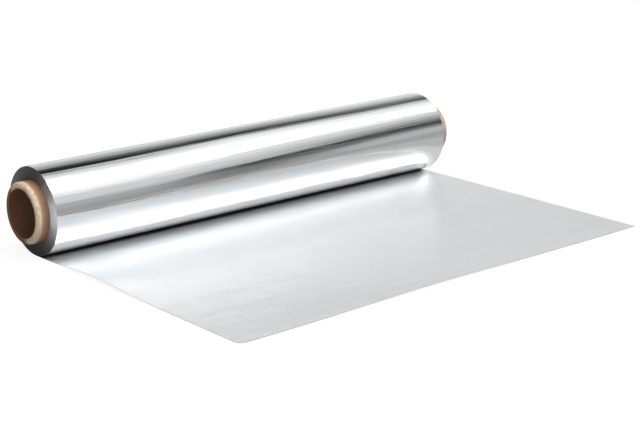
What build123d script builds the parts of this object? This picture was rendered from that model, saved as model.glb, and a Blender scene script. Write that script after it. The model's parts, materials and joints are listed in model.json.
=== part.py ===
from build123d import *
import os
from math import sqrt

# Aluminium foil roll on a paperboard core, lying with its free end run out flat.
# X runs along the roll, the free end runs towards -Y, and Z is up. The origin is on
# the core's axis, half way along the foil. Sizes are in millimetres.

# Paperboard core
core_bore = 28.4         # inside diameter, for a dispenser's spindle
core_wall = 3.8
core_reach_near = 7.5    # how far the core stands out of the roll at -X
core_reach_far = 11.8    # the same at +X
lip_round = 2.0          # rounded outer edge of the cut rim
bore_bevel = 0.6         # soft inner edge of the cut rim

# Foil strip
foil_width = 300.0
wound_depth = 7.8        # from the core to the top of the roll
sheet_length = 188.0     # free end, from the line under the axis to the cut edge
corner_radius = 4.5      # soft corner of the cut edge at -X
foil_gauge = 0.4         # drawn thick: the real strip is about 0.014
turn_pitch = 1.0         # one drawn turn stands for about seventy real ones
turn_relief = 0.3        # how far the drawn turns stand out of the wound ends
flat_spot = 5.0          # width that the roll's own weight presses flat

# Sizes that follow
core_radius = core_bore / 2 + core_wall
core_length = core_reach_near + foil_width + core_reach_far
core_middle = (core_reach_far - core_reach_near) / 2
lip = min(lip_round, 0.6 * core_wall)                   # both rim edges have to fit in the wall
bore_edge = min(bore_bevel, 0.3 * core_wall)
turn_step = turn_pitch / 4                              # how much each quarter turn loses
roll_radius = core_radius + wound_depth + turn_step     # at the bottom, where the strip leaves
table = -sqrt(roll_radius**2 - (flat_spot / 2) ** 2)    # height of what the roll lies on
wound_width = foil_width - 2 * turn_relief
turn_count = int((roll_radius - foil_gauge - core_radius) / turn_pitch)

# A turn is four quarter arcs. Each is a step smaller than the last and shares its tangent,
# so the four centres are the corners of a small square.
turn_centres = [(0, 0), (turn_step, 0), (turn_step, turn_step), (0, turn_step)]


def spiral(outer_radius, turns):
    """Arcs that wind inwards from straight below the axis, in the YZ plane."""
    arcs = []
    for quarter in range(4 * turns):
        radius = outer_radius - quarter * turn_step
        arcs.append(CenterArc(turn_centres[quarter % 4], radius, (90 * quarter - 90) % 360, 90))
    return arcs


def make_core():
    """Tube with rounded outer rims and bevelled inner ones."""
    tube = Cylinder(core_radius, core_length) - Cylinder(core_bore / 2, core_length)
    inner_rims = tube.edges().filter_by(GeomType.CIRCLE).sort_by(SortBy.RADIUS)[:2]
    tube = chamfer(inner_rims, bore_edge)
    outer_rims = tube.edges().filter_by(GeomType.CIRCLE).sort_by(SortBy.RADIUS)[-2:]
    tube = fillet(outer_rims, lip)
    return Pos(core_middle, 0, 0) * Rot(0, 90, 0) * tube


def across(profile, width):
    """A profile in the YZ plane, given its width along X on both sides of the middle."""
    return extrude(Plane.YZ * profile, amount=width / 2, both=True)


def make_foil():
    """Wound turns and flat free end of one strip."""
    outer_turn = spiral(roll_radius, 1)
    outer_step = Line(outer_turn[-1] @ 1, outer_turn[0] @ 0)
    wound = make_face(outer_turn + [outer_step]) - Circle(core_radius)

    outside = spiral(roll_radius, turn_count)
    inside = spiral(roll_radius - foil_gauge, turn_count)
    outer_end = Line(outside[0] @ 0, inside[0] @ 0)
    inner_end = Line(outside[-1] @ 1, inside[-1] @ 1)
    strip = make_face(outside + inside + [outer_end, inner_end])

    below_table = Pos(0, table) * Rectangle(
        2 * roll_radius, 2 * roll_radius, align=(Align.CENTER, Align.MAX)
    )
    sheet = Pos(0, table) * Rectangle(sheet_length, foil_gauge, align=(Align.MAX, Align.MIN))

    foil = across(wound - below_table, wound_width)
    foil += across(strip - below_table, foil_width)
    foil += across(sheet, foil_width)
    corner = foil.edges().filter_by(Axis.Z).group_by(Axis.Y)[0].sort_by(Axis.X)[0]
    return fillet(corner, corner_radius)


os.makedirs("parts", exist_ok=True)
for node, solid in {"core_tube": make_core(), "foil": make_foil()}.items():
    export_step(solid, f"parts/{node}.step")
    print(node, "volume", round(solid.volume / 1000, 2), "cm3")
print("turns drawn", turn_count, "table at", round(table, 3))
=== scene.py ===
import bpy
import json
import math
from mathutils import Matrix, Vector, noise


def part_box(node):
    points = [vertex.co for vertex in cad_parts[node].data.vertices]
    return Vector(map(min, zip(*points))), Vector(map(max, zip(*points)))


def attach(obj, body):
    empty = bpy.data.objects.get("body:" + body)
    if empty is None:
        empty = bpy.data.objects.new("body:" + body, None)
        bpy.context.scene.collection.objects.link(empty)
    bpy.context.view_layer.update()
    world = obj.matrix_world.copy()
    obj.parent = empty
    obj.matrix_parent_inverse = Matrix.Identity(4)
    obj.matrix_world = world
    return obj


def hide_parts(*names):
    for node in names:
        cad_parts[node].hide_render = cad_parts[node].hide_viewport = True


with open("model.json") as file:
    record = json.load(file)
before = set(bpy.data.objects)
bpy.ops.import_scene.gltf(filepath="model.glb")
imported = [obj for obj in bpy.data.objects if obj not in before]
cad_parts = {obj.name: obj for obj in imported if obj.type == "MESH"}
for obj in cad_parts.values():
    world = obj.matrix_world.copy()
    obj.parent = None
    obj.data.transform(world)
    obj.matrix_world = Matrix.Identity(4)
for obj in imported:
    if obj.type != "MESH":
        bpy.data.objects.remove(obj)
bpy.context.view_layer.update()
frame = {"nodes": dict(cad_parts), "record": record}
print("frame loaded:", sorted(frame["nodes"]))

mm = 0.001
touch = 0.01 * mm                # nearer than this counts as the same place
fullTurn = 2 * math.pi
foilLow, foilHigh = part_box("foil")
coreLow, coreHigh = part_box("core_tube")
foilWidth = foilHigh.x - foilLow.x
foilMiddle = (foilHigh.x + foilLow.x) / 2
sheetRun = -foilLow.y            # free end, from under the axis to the cut edge
tableZ = foilLow.z               # what the roll lies on
rollRadius = -tableZ
coreRadius = coreHigh.z
coreBore = next(m for m in frame["record"]["mounts"] if m["name"] == "core_bore")
boreRadius = coreBore["dims"]["r_mm"] * mm


# Shader maths: a Wire is one output socket, and sums and products of wires add Math nodes
class Wire:
    def __init__(self, board, socket):
        self.board = board
        self.socket = socket

    def maths(self, operation, *values):
        return self.board.add("ShaderNodeMath", {"operation": operation}, values)

    def __add__(self, other):
        return self.maths("ADD", self, other)

    def __radd__(self, other):
        return self.maths("ADD", other, self)

    def __sub__(self, other):
        return self.maths("SUBTRACT", self, other)

    def __rsub__(self, other):
        return self.maths("SUBTRACT", other, self)

    def __mul__(self, other):
        return self.maths("MULTIPLY", self, other)

    def __rmul__(self, other):
        return self.maths("MULTIPLY", other, self)

    def __truediv__(self, other):
        return self.maths("DIVIDE", self, other)

    def __rtruediv__(self, other):
        return self.maths("DIVIDE", other, self)

    def __neg__(self):
        return self.maths("MULTIPLY", self, -1.0)

    def abs(self):
        return self.maths("ABSOLUTE", self)

    def fract(self):
        return self.maths("FRACT", self)

    def sine(self):
        return self.maths("SINE", self)

    def root(self):
        return self.maths("SQRT", self)

    def angle(self, ahead):           # in radians, of a point this high and that far ahead
        return self.maths("ARCTAN2", self, ahead)

    def step(self, low, high):        # 0 below low, 1 above high, smooth between
        return self.board.add(
            "ShaderNodeMapRange",
            {"interpolation_type": "SMOOTHSTEP"},
            {"Value": self, "From Min": low, "From Max": high},
        )


# A Board holds one node tree, and add() puts any node on it
class Board:
    def __init__(self, tree):
        self.tree = tree
        tree.nodes.clear()

    def add(self, kind, settings=None, inputs=(), output=0):
        node = self.tree.nodes.new(kind)
        for name, value in (settings or {}).items():
            if name == "stops":
                self.setStops(node.color_ramp, value)
            else:
                setattr(node, name, value)
        pairs = inputs.items() if isinstance(inputs, dict) else enumerate(inputs)
        for key, value in pairs:
            if isinstance(value, Wire):
                self.tree.links.new(value.socket, node.inputs[key])
            else:
                node.inputs[key].default_value = value
        return Wire(self, node.outputs[output]) if node.outputs else None

    def setStops(self, ramp, greys):
        while len(ramp.elements) < len(greys):
            ramp.elements.new(1.0)
        for element, (place, grey) in zip(ramp.elements, greys):
            element.position = place
            element.color = (grey, grey, grey, 1)

    def spot(self):                   # Object coordinates
        return self.add("ShaderNodeTexCoord", output="Object")

    def axes(self, vector):           # its x, y and z
        split = self.add("ShaderNodeSeparateXYZ", inputs=[vector])
        return [Wire(self, socket) for socket in split.socket.node.outputs]

    def noise(self, spot, scale, detail=2.0, rough=0.5, stretch=None):
        if stretch:                   # scales the coordinates along each axis
            spot = self.add("ShaderNodeMapping", inputs={"Vector": spot, "Scale": stretch})
        return self.add(
            "ShaderNodeTexNoise",
            inputs={"Vector": spot, "Scale": scale, "Detail": detail, "Roughness": rough},
        )

    def mixColour(self, factor, first, second):
        # sockets 6 and 7 take the two colours, and output 2 gives one
        return self.add(
            "ShaderNodeMix", {"data_type": "RGBA"}, {0: factor, 6: first, 7: second}, output=2
        )

    def bump(self, height, strength, distance, normal=None):
        inputs = {"Height": height, "Strength": strength, "Distance": distance}
        if normal:
            inputs["Normal"] = normal
        return self.add("ShaderNodeBump", inputs=inputs)


def newMaterial(name):
    material = bpy.data.materials.new(name)
    material.use_nodes = True
    return material, Board(material.node_tree)


def surface(board, **inputs):
    sockets = {key.replace("_", " "): value for key, value in inputs.items()}
    shader = board.add("ShaderNodeBsdfPrincipled", inputs=sockets)
    board.add("ShaderNodeOutputMaterial", inputs=[shader])


def deselectAll():
    if bpy.context.object and bpy.context.object.mode != "OBJECT":
        bpy.ops.object.mode_set(mode="OBJECT")
    bpy.ops.object.select_all(action="DESELECT")


def selectOnly(*pieces):              # the first one becomes the active one
    deselectAll()
    for piece in pieces:
        piece.select_set(True)
    bpy.context.view_layer.objects.active = pieces[0]


def pickVerts(piece, test):           # in edit mode, selects the vertices that pass
    bpy.ops.object.mode_set(mode="EDIT")
    bpy.ops.mesh.select_all(action="DESELECT")
    bpy.ops.mesh.select_mode(type="VERT")
    bpy.ops.object.mode_set(mode="OBJECT")
    for vertex in piece.data.vertices:
        vertex.select = test(vertex.co)
    bpy.ops.object.mode_set(mode="EDIT")


def applyModifier(piece, kind, **settings):
    modifier = piece.modifiers.new(kind.title(), kind)
    for name, value in settings.items():
        setattr(modifier, name, value)
    bpy.context.view_layer.objects.active = piece
    bpy.ops.object.modifier_apply(modifier=modifier.name)


def settle(piece):                    # place, turn and scale go into the mesh
    selectOnly(piece)
    bpy.ops.object.transform_apply(location=True, rotation=True, scale=True)


# Foil finishes
foilLooks = {
    "colour": (0.905, 0.913, 0.922, 1.0),
    "brightRough": 0.05,
    "satinColour": (0.93, 0.95, 0.963, 1.0),
    "satinMetal": 0.72,               # the rest scatters light as a matt surface does
    "satinRough": 0.285,
    "roughSpread": 0.05,              # what the broad lines add to the roughness
    # painted shade: the satin side darkens where the roll closes on it, over this span of y
    "paintedNipShadeColour": (0.03, 0.03, 0.03, 1.0),
    "paintedNipShadeSpan": (-12 * mm, -6 * mm),
    "edgeColour": (0.44, 0.44, 0.455, 1.0),
    "edgeRough": 0.4,
    "edgeRidge": 0.4 * mm,            # from one ridge of the cut edges to the next
    # rolling lines along the strip, then winding marks along the roll, with scales per metre
    "fineLines": {"scale": 900.0, "stretch": (1.0, 0.012, 0.012), "detail": 3.0, "rough": 0.6},
    "broadLines": {"scale": 90.0, "stretch": (1.0, 0.024, 0.024)},
    "fineShare": 0.6,                 # of the fine lines in the bright side's relief
    "streaks": {"scale": 330.0, "stretch": (0.03, 1.0, 1.0), "detail": 3.0, "rough": 0.55},
    "satinStreaks": {"scale": 132.0, "stretch": (0.03, 1.0, 1.0), "detail": 3.0, "rough": 0.55},
    "mottle": {"scale": 60.0, "stretch": (0.6, 1.0, 1.0), "detail": 5.0, "rough": 0.6},
    "grain": {"scale": 1400.0},
    # strength and depth of each relief
    "streakRelief": (1.0, 0.15 * mm),
    "lineRelief": (0.05, 0.05 * mm),
    "satinStreakRelief": (1.0, 0.25 * mm),
    "mottleRelief": (1.0, 0.5 * mm),
    "grainRelief": (0.12, 0.05 * mm),
    "edgeRelief": (0.6, 0.1 * mm),
}


def brightFoil():
    material, board = newMaterial("foilBright")
    spot = board.spot()
    fine = board.noise(spot, **foilLooks["fineLines"])
    broad = board.noise(spot, **foilLooks["broadLines"])
    streaks = board.noise(spot, **foilLooks["streaks"])
    lines = fine * foilLooks["fineShare"] + broad * (1 - foilLooks["fineShare"])
    relief = board.bump(streaks, *foilLooks["streakRelief"])
    relief = board.bump(lines, *foilLooks["lineRelief"], normal=relief)
    surface(
        board,
        Base_Color=foilLooks["colour"],
        Metallic=1.0,
        Roughness=foilLooks["brightRough"] + broad * foilLooks["roughSpread"],
        Normal=relief,
    )
    return material


def satinFoil():
    material, board = newMaterial("foilSatin")
    spot = board.spot()
    y = board.axes(spot)[1]
    fine = board.noise(spot, **foilLooks["fineLines"])
    broad = board.noise(spot, **foilLooks["broadLines"])
    grain = board.noise(spot, **foilLooks["grain"])
    streaks = board.noise(spot, **foilLooks["satinStreaks"])
    mottle = board.noise(spot, **foilLooks["mottle"])
    relief = board.bump(streaks, *foilLooks["satinStreakRelief"])
    relief = board.bump(mottle, *foilLooks["mottleRelief"], normal=relief)
    relief = board.bump((fine + grain) / 2, *foilLooks["grainRelief"], normal=relief)
    # painted shade along the nip, where the roll closes on the sheet
    paintedNipShade = y.step(*foilLooks["paintedNipShadeSpan"])
    surface(
        board,
        Base_Color=board.mixColour(paintedNipShade, foilLooks["satinColour"], foilLooks["paintedNipShadeColour"]),
        Metallic=foilLooks["satinMetal"],
        Roughness=foilLooks["satinRough"] + broad * foilLooks["roughSpread"],
        Normal=relief,
    )
    return material


def cutFoil():
    material, board = newMaterial("foilCutEdge")
    y, z = board.axes(board.spot())[1:]
    radius = (y * y + z * z).root()
    ridges = (radius * (fullTurn / foilLooks["edgeRidge"])).sine()
    surface(
        board,
        Base_Color=foilLooks["edgeColour"],
        Metallic=1.0,
        Roughness=foilLooks["edgeRough"],
        Normal=board.bump(ridges, *foilLooks["edgeRelief"]),
    )
    return material


# The strip: free end, outer turn and wound turns
stripShape = {
    "thick": 0.17 * mm,
    "pitch": 0.20 * mm,               # from one drawn turn to the next
    "columns": 150,
    "rows": 95,
    "outerQuarters": 4,               # the turn that shows, in quarters
    "outerSteps": 24,
    "innerSteps": 10,
    "cornerRound": 4.5 * mm,
    "cornerCuts": 9,
    "telescope": 0.12 * mm,           # how unevenly the turns end,
    "telescopeScales": (9000, 40),    # from turn to turn and round each one, per metre,
    "telescopeInset": 0.7,            # and how far they all stand back, as a share of it
    "smoothAngle": math.radians(35),
}

# Slow unevenness of the strip, with noise scales per metre
stripWaves = {
    "sheetEase": 30 * mm,             # the sheet leaves the roll flat, with full waves from here on
    "longWave": (6, 34, 1.7),         # scales in x and y, and the layer of noise
    "longHeight": 0.16 * mm,
    "crossWave": (22, 16, 8.3),
    "crossHeight": 0.08 * mm,
    # the cut edge rises a little near its middle, and the near edge beside the roll
    "frontLift": {"height": 1.15 * mm, "start": 110 * mm, "middle": -18 * mm, "width": 62 * mm},
    "sideLift": {"height": 2.1 * mm, "start": 95 * mm, "middle": -60 * mm, "width": 36 * mm},
    # the turn that shows has a faint ripple, along the roll and round it,
    "rippleAlong": 14,
    "rippleRound": 2.2,
    "rippleDepth": 0.012 * mm,
    # and sits loosely low down at the far end
    "looseAlong": (40 * mm, 130 * mm),
    "looseForward": (4 * mm, 14 * mm),
    "looseDown": (-2 * mm, 8 * mm),
    "looseDepth": 0.22 * mm,
    "dents": (55, 110, 110),
}


def roundCorner(piece):
    radius = stripShape["cornerRound"]
    centre = Vector((foilLow.x + radius, foilLow.y + radius, tableZ))
    bpy.ops.object.mode_set(mode="EDIT")
    for cut in range(1, stripShape["cornerCuts"] + 1):
        turn = math.radians(180 + 90 * cut / (stripShape["cornerCuts"] + 1))
        outward = Vector((math.cos(turn), math.sin(turn), 0))
        bpy.ops.mesh.select_all(action="SELECT")
        bpy.ops.mesh.bisect(plane_co=centre + outward * radius, plane_no=outward, clear_outer=True)
    bpy.ops.object.mode_set(mode="OBJECT")


def windTurns(firstQuarter, quarters, steps):
    # each quarter turn is a step smaller and shares its tangent with the last one
    step = stripShape["pitch"] / 4
    centres = [(0, 0), (step, 0), (step, step), (0, step)]
    for quarter in range(firstQuarter, firstQuarter + quarters):
        y, z = centres[quarter % 4]
        bpy.ops.mesh.spin(steps=steps, angle=math.radians(-90), center=(0, y, z), axis=(1, 0, 0))


def makeRunOff():
    deselectAll()
    bpy.ops.mesh.primitive_grid_add(
        x_subdivisions=stripShape["columns"],
        y_subdivisions=stripShape["rows"],
        size=1.0,
        location=(foilMiddle, -sheetRun / 2, tableZ),
    )
    piece = bpy.context.object
    piece.name = "foilRunOff"
    piece.scale = (foilWidth, sheetRun, 1.0)
    settle(piece)
    roundCorner(piece)
    pickVerts(piece, lambda co: co.y > -touch)
    windTurns(0, stripShape["outerQuarters"], stripShape["outerSteps"])
    bpy.ops.object.mode_set(mode="OBJECT")
    return piece


def smooth(value, low, high):         # 0 below low, 1 above high
    share = min(1.0, max(0.0, (value - low) / (high - low)))
    return share * share * (3 - 2 * share)


def swell(value, middle, width):      # 1 at the middle, fading out on both sides
    return math.exp(-(((value - middle) / width) ** 2))


def wave(co, scaleX, scaleY, layer):  # from 0 to 2
    return 1 + noise.noise(Vector((co.x * scaleX, co.y * scaleY, layer)))


def lift(edge, outward, end, along):  # rises outward to the edge's end, most at its middle
    rise = smooth(outward, edge["start"], end) * swell(along, edge["middle"], edge["width"])
    return rise * edge["height"]


def liftSheet(co):
    ease = min(1.0, -co.y / stripWaves["sheetEase"])
    waves = stripWaves["longHeight"] * wave(co, *stripWaves["longWave"])
    waves += stripWaves["crossHeight"] * wave(co, *stripWaves["crossWave"])
    front = lift(stripWaves["frontLift"], -co.y, sheetRun, co.x)
    side = lift(stripWaves["sideLift"], -co.x, -foilLow.x, co.y)
    return Vector((0, 0, ease * (waves + front + side)))


def loosenTurn(co):
    turn = math.atan2(co.z, co.y)
    size = stripWaves["rippleRound"]
    place = Vector((co.x * stripWaves["rippleAlong"], size * math.cos(turn), size * math.sin(turn)))
    ripple = noise.noise(place) - 1
    loose = smooth(co.x, *stripWaves["looseAlong"]) * smooth(-co.y, *stripWaves["looseForward"])
    loose *= smooth(-co.z, *stripWaves["looseDown"])
    dent = 1 + noise.noise(co * Vector(stripWaves["dents"]))
    outward = Vector((0, co.y, co.z)).normalized()
    return outward * (ripple * stripWaves["rippleDepth"] + loose * dent * stripWaves["looseDepth"])


def buckle(piece):
    for vertex in piece.data.vertices:
        co = vertex.co.copy()
        onTable = co.y < 0 and co.z < tableZ + touch
        vertex.co = co + (liftSheet(co) if onTable else loosenTurn(co))


def countQuarters():
    depth = rollRadius - coreRadius - stripShape["thick"]
    return 4 * int(depth / stripShape["pitch"])


def stripLength():
    step = stripShape["pitch"] / 4
    arcs = (rollRadius - quarter * step for quarter in range(countQuarters()))
    return sheetRun + math.pi / 2 * sum(arcs)


def makeWoundTurns():
    # starts where the turn that shows ends, from a short lead that is then taken away
    first = stripShape["outerQuarters"]
    lead = 1.0 * mm
    startZ = tableZ + stripShape["pitch"] * first / 4
    deselectAll()
    bpy.ops.mesh.primitive_plane_add(size=1.0, location=(foilMiddle, -lead / 2, startZ))
    piece = bpy.context.object
    piece.name = "foilTurns"
    piece.scale = (foilWidth, lead, 1.0)
    settle(piece)
    pickVerts(piece, lambda co: co.y > -lead / 2)
    windTurns(first, countQuarters() - first, stripShape["innerSteps"])
    pickVerts(piece, lambda co: abs(co.y + lead) < touch and abs(co.z - startZ) < touch)
    bpy.ops.mesh.delete(type="VERT")
    bpy.ops.object.mode_set(mode="OBJECT")
    byTurn, byPlace = stripShape["telescopeScales"]
    for vertex in piece.data.vertices:
        co = vertex.co
        radius = math.hypot(co.y, co.z)
        uneven = noise.noise(Vector((radius * byTurn, co.y * byPlace, co.z * byPlace)))
        co.x += math.copysign(stripShape["telescope"], co.x) * (uneven - stripShape["telescopeInset"])
    return piece


def makeStrip():
    finishes = [satinFoil(), brightFoil(), cutFoil()]
    runOff = makeRunOff()
    buckle(runOff)
    turns = makeWoundTurns()
    for piece in (runOff, turns):
        for material in finishes:
            piece.data.materials.append(material)
        applyModifier(
            piece, "SOLIDIFY", thickness=stripShape["thick"], offset=1.0,
            material_offset=1, material_offset_rim=2, use_even_offset=True,
        )
    selectOnly(runOff, turns)
    bpy.ops.object.join()
    strip = bpy.context.object
    strip.name = "foilStrip"
    bpy.ops.object.shade_smooth_by_angle(angle=stripShape["smoothAngle"])
    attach(strip, "root")
    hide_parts("foil")
    stripLength()
    print("foil strip:", len(strip.data.polygons), "faces")


# Paperboard core
coreShape = {
    "around": 120,
    "outerRound": 2.0 * mm,
    "innerRound": 0.6 * mm,
    "roundSteps": 6,
    "smoothAngle": math.radians(40),
}

coreLooks = {
    # darker and paler fibres of each face
    "exposed": ((0.26, 0.145, 0.085, 1), (0.46, 0.285, 0.18, 1)),     # the outside near an end
    "shaded": ((0.17, 0.085, 0.045, 1), (0.27, 0.145, 0.085, 1)),     # the outside nearer the foil
    # the bore's brown, darkened with painted shade as in a hollow
    "inside": ((0.055, 0.02, 0.006, 1), (0.10, 0.038, 0.013, 1)),
    "nearRim": ((0.50, 0.36, 0.25, 1), (0.74, 0.60, 0.44, 1)),
    # painted shade: the far rim is a darker, greyer copy of the near rim's colours
    "farRim": ((0.39, 0.30, 0.23, 1), (0.58, 0.49, 0.40, 1)),
    "fibre": {"scale": 700.0, "detail": 4.0, "rough": 0.65},
    "rimFibre": (0.30, 0.66),         # the rims show the fibre more sharply
    "cloud": {"scale": 60.0, "detail": 3.0},
    "rough": 0.72,
    "roughSpread": 0.2,               # what the cloud adds to it
    "halves": (-1 * mm, 1 * mm),      # in x, where the two ends' looks meet
    # pale cut board shows this far from each end, and the next three values are shares of that
    "nearReach": 2.7 * mm,
    "farReach": 8.0 * mm,
    "rimSpan": (0.75, 1.35),
    "rimRagged": 0.2,
    "shadedSpan": (0.9, 2.4),
    # out from the bore
    "rimDepth": (0.1 * mm, 0.35 * mm),
    "outsideDepth": (0.2 * mm, 0.5 * mm),
    # painted shade: one side of the near rim turns to the bore's dark colour, as if in shadow
    "paintedRimShadeTurn": math.radians(-26),   # the side of the near rim that is brown like the bore
    "paintedRimShadeSpan": (0.05, 0.4),
    "paintedRimShadeShare": 0.85,
    "seamLead": 62.0 * mm,            # one turn of the wound outer ply
    "seamWidth": 0.012,               # as a share of the lead
    "seamColour": (0.12, 0.06, 0.03, 1),
    "seamShare": 0.45,
    "plyPitch": 0.42 * mm,
    "fibreHeight": 0.7,
    "plyHeight": 0.25,
    "relief": (0.35, 0.12 * mm),      # strength and depth
}


def coreBoard():
    material, board = newMaterial("coreBoard")
    looks = coreLooks
    spot = board.spot()
    x, y, z = board.axes(spot)
    radius = (y * y + z * z).root()
    fromBore = radius - boreRadius
    isFar = x.step(*looks["halves"])
    fromNear = (x - coreLow.x) / looks["nearReach"]
    fromFar = (coreHigh.x - x) / looks["farReach"]
    fromEnd = fromNear * (1 - isFar) + fromFar * isFar
    fibre = board.noise(spot, **looks["fibre"])
    cloud = board.noise(spot, **looks["cloud"])

    # painted shade: the outside darkens from an end towards the foil, where it meets the roll
    exposed = board.mixColour(fibre, *looks["exposed"])
    shaded = board.mixColour(fibre, *looks["shaded"])
    outside = board.mixColour(fromEnd.step(*looks["shadedSpan"]), exposed, shaded)
    # the bore's brown with painted shade
    inside = board.mixColour(fibre, *looks["inside"])
    isOutside = fromBore.step(*looks["outsideDepth"])
    wall = board.mixColour(isOutside, inside, outside)

    # painted shade: the near rim darkens to the bore's colour on one side
    turn = looks["paintedRimShadeTurn"]
    paintedRimShade = ((y * math.cos(turn) + z * math.sin(turn)) / radius).step(*looks["paintedRimShadeSpan"])
    rimFibre = fibre.step(*looks["rimFibre"])
    nearRim = board.mixColour(rimFibre, *looks["nearRim"])
    nearRim = board.mixColour(paintedRimShade * looks["paintedRimShadeShare"], nearRim, inside)
    # painted shade: the far rim takes the darker copy
    farRim = board.mixColour(rimFibre, *looks["farRim"])
    rim = board.mixColour(isFar, nearRim, farRim)
    isRim = 1 - (fromEnd + fibre * looks["rimRagged"]).step(*looks["rimSpan"])
    isRim = isRim * fromBore.step(*looks["rimDepth"])
    colour = board.mixColour(isRim, wall, rim)

    around = z.angle(y) / fullTurn
    fromSeam = ((x / looks["seamLead"] + around).fract() - 0.5).abs()
    seam = (1 - fromSeam.step(0.0, looks["seamWidth"])) * (1 - isRim)
    colour = board.mixColour(seam * isOutside * looks["seamShare"], colour, looks["seamColour"])
    plies = (radius * (fullTurn / looks["plyPitch"])).sine()
    height = fibre * looks["fibreHeight"] + plies * isRim * looks["plyHeight"] - seam
    surface(
        board,
        Base_Color=colour,
        Roughness=looks["rough"] + cloud * looks["roughSpread"],
        Normal=board.bump(height, *looks["relief"]),
    )
    return material


def makeCore():
    deselectAll()
    bpy.ops.mesh.primitive_cylinder_add(
        vertices=coreShape["around"],
        radius=coreRadius,
        depth=coreHigh.x - coreLow.x,
        end_fill_type="NOTHING",
        location=((coreLow.x + coreHigh.x) / 2, 0, 0),
        rotation=(0, math.radians(90), 0),
    )
    core = bpy.context.object
    core.name = "coreTube"
    settle(core)
    applyModifier(core, "SOLIDIFY", thickness=coreRadius - boreRadius, offset=-1.0)
    middleRadius = (coreRadius + boreRadius) / 2
    ends = (coreLow.x + touch, coreHigh.x - touch)
    for outer, width in ((True, coreShape["outerRound"]), (False, coreShape["innerRound"])):
        pickVerts(core, lambda co: not ends[0] < co.x < ends[1]
                  and (math.hypot(co.y, co.z) > middleRadius) == outer)
        bpy.ops.mesh.select_mode(type="EDGE")
        bpy.ops.mesh.bevel(offset=width, segments=coreShape["roundSteps"], profile=0.5)
        bpy.ops.object.mode_set(mode="OBJECT")
    core.data.materials.append(coreBoard())
    selectOnly(core)
    bpy.ops.object.shade_smooth_by_angle(angle=coreShape["smoothAngle"])
    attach(core, "root")
    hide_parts("core_tube")
    print("core:", len(core.data.polygons), "faces")


# Floor and light
studio = {
    "floorSize": 30.0,
    "floorDrop": 0.1 * mm,
    "floorTone": 0.12,
    "floorGlow": 0.90,                # what the camera sees of the floor besides its shading
    # painted reflection, a glow of the floor that only metal sees: in front, from this far before the
    # cut edge,
    "frontMirrored": 0.18,
    "frontFade": 0.1,
    # past the foil's far edge, where it fades to these levels, each from and to so many mm,
    "rightSpan": (-10 * mm, -2 * mm),
    "rightEdge": 0.76,
    "rightFades": [(0.52, 0, 9), (0.36, 13, 33), (0.26, 90, 180)],
    # and out from the near edge, towards the front
    "leftMirrored": 4.2,
    "leftSpan": (0.01, 0.07),
    "leftForward": (-0.05, 0.02),
    # light round the roll, in degrees from the front horizon over the top to the back one:
    # as seen in the near end of the roll, in its middle and in the far end
    "nearBands": [
        (0, 0.32), (19, 0.45), (27, 0.66), (38, 0.7), (46, 1.0), (57, 1.1), (63, 5.0), (84, 5.0),
        (88, 1.0), (109, 0.56), (114, 0.02), (126, 0.02), (137, 0.3), (180, 0.9),
    ],
    "middleBands": [
        (0, 0.4), (12, 0.2), (20, 0.18), (29, 0.04), (31, 0.06), (37, 0.5), (61, 0.8), (70, 1.1),
        (74, 5.0), (86, 5.0), (92, 1.1), (98, 1.05), (115, 0.62), (122, 0.05), (129, 0.03),
        (142, 0.3), (180, 0.9),
    ],
    "farBands": [
        (0, 0.4), (6, 0.5), (14, 0.46), (23, 0.15), (30, 0.04), (39, 0.27), (51, 0.47), (68, 1.0),
        (73, 5.0), (86, 5.0), (91, 1.1), (111, 0.64), (119, 0.13), (126, 0.11), (144, 0.46),
        (180, 0.95),
    ],
    # spans of a direction's x over which one list gives way to the next
    "middleSpan": (0.53, 0.6),
    "farSpan": (0.6, 0.665),
    "slantFrom": 0.663,               # the last two lists slant from this x,
    "slantRate": 90,                  # by so many degrees for each 1 of x,
    "slantEnd": (60, 85),             # and no more above these angles
    # the side of the near end is dark, with a box of light low in front
    "leftDark": 0.95,
    "leftTurn": (-0.25, 0.3),         # by -x
    "frontBox": 3.0,
    "boxForward": (0.0, 0.25),        # by -y
    "boxTop": (0.35, 0.65),           # by z
    "lampPlace": (-0.20, -0.05, 0.36),
    "lampAim": (-0.08, -0.05, -0.026),
    "lampSize": 0.2,
    "lampPower": 0.45,
}


def makeFloor():
    deselectAll()
    bpy.ops.mesh.primitive_plane_add(
        size=studio["floorSize"], location=(0, 0, tableZ - studio["floorDrop"])
    )
    floor = bpy.context.object
    floor.name = "floor"
    material, board = newMaterial("floorPale")
    x, y = board.axes(board.spot())[:2]
    camera = board.add("ShaderNodeLightPath", output="Is Camera Ray")
    glossy = board.add("ShaderNodeLightPath", output="Is Glossy Ray")
    tone = studio["floorTone"]
    shaded = board.add("ShaderNodeBsdfDiffuse", inputs={"Color": (tone, tone, tone, 1)})
    past = x - foilHigh.x
    right = past.step(*studio["rightSpan"])
    beside = studio["rightEdge"]
    for level, start, end in studio["rightFades"]:
        fade = past.step(start * mm, end * mm)
        beside = beside * (1 - fade) + fade * level
    left = (foilLow.x - x).step(*studio["leftSpan"]) * (-y).step(*studio["leftForward"])
    front = (-y).step(sheetRun - studio["frontFade"], sheetRun) * (1 - right)
    # painted reflection: the floor glows for glossy rays only, brightest in a pool beside the near end
    mirrored = front * studio["frontMirrored"] + right * beside + left * studio["leftMirrored"]
    glow = camera * studio["floorGlow"] + glossy * mirrored
    white = board.add("ShaderNodeEmission", inputs={"Strength": glow})
    both = board.add("ShaderNodeAddShader", inputs=[shaded, white])
    board.add("ShaderNodeOutputMaterial", inputs=[both])
    floor.data.materials.append(material)


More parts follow.
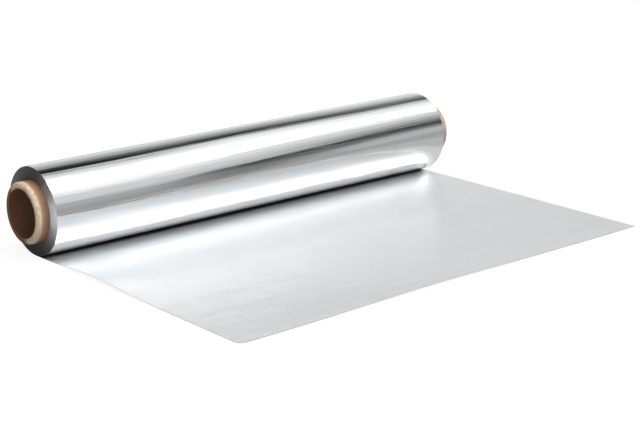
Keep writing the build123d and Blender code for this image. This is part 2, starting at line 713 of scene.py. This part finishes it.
def makeWorld():
    world = bpy.data.worlds.new("studio")
    bpy.context.scene.world = world
    world.use_nodes = True
    board = Board(world.node_tree)
    x, y, z = board.axes(board.add("ShaderNodeTexCoord", output="Generated"))
    over = z.angle(-y) * (180 / math.pi)

    def bands(name, angle):
        stops = [(place / 180, level) for place, level in studio[name]]
        return board.add("ShaderNodeValToRGB", {"stops": stops}, [angle / 180])

    slant = (studio["slantFrom"] - x) * studio["slantRate"] * (1 - over.step(*studio["slantEnd"]))
    near = bands("nearBands", over)
    middle = bands("middleBands", over + slant)
    far = bands("farBands", over + slant)
    level = near + (middle - near) * x.step(*studio["middleSpan"])
    level = level + (far - level) * x.step(*studio["farSpan"])
    left = (-x).step(*studio["leftTurn"])
    front = (-y).step(*studio["boxForward"]) * (1 - z.step(*studio["boxTop"]))
    level = level * (1 - left * studio["leftDark"])
    level = level + studio["frontBox"] * left * front
    camera = board.add("ShaderNodeLightPath", output="Is Camera Ray")
    level = level * (1 - camera) + camera
    light = board.add("ShaderNodeBackground", inputs={"Color": (1, 1, 1, 1), "Strength": level})
    board.add("ShaderNodeOutputWorld", inputs=[light])


def makeLamp():
    lamp = bpy.data.lights.new("softbox", "AREA")
    lamp.size = studio["lampSize"]
    lamp.energy = studio["lampPower"]
    holder = bpy.data.objects.new("softbox", lamp)
    bpy.context.scene.collection.objects.link(holder)
    holder.location = studio["lampPlace"]
    holder.rotation_mode = "QUATERNION"
    holder.rotation_quaternion = (holder.location - Vector(studio["lampAim"])).to_track_quat("Z", "Y")
    holder.visible_glossy = False


# Camera, from the photograph's own perspective
cameraPlace = {
    "place": (-583.1 * mm, -751.3 * mm, 245.3 * mm),
    "azimuth": -40.685,
    "elevation": 16.169,
    "roll": -0.190,
    "focal": 1576.1,                  # in pixels of an image 640 wide
    "imageWidth": 640,
    "sensor": 36.0,
}


def makeCamera():
    azimuth, elevation, roll = (math.radians(cameraPlace[k]) for k in ("azimuth", "elevation", "roll"))
    back = Vector((
        math.sin(azimuth) * math.cos(elevation),
        -math.cos(azimuth) * math.cos(elevation),
        math.sin(elevation),
    ))
    right = Vector((0, 0, 1)).cross(back).normalized()
    up = back.cross(right)
    tiltedRight = right * math.cos(roll) + up * math.sin(roll)
    tiltedUp = up * math.cos(roll) - right * math.sin(roll)
    data = bpy.data.cameras.new("camera")
    data.sensor_fit = "HORIZONTAL"
    data.sensor_width = cameraPlace["sensor"]
    data.lens = cameraPlace["focal"] / cameraPlace["imageWidth"] * cameraPlace["sensor"]
    camera = bpy.data.objects.new("camera", data)
    bpy.context.scene.collection.objects.link(camera)
    turn = Matrix((tiltedRight, tiltedUp, back)).transposed().to_4x4()
    camera.matrix_world = Matrix.Translation(cameraPlace["place"]) @ turn
    bpy.context.scene.camera = camera


makeStrip()
makeCore()
makeFloor()
makeWorld()
makeLamp()
makeCamera()
bpy.context.scene.view_settings.view_transform = "Standard"
print("studio and camera set")
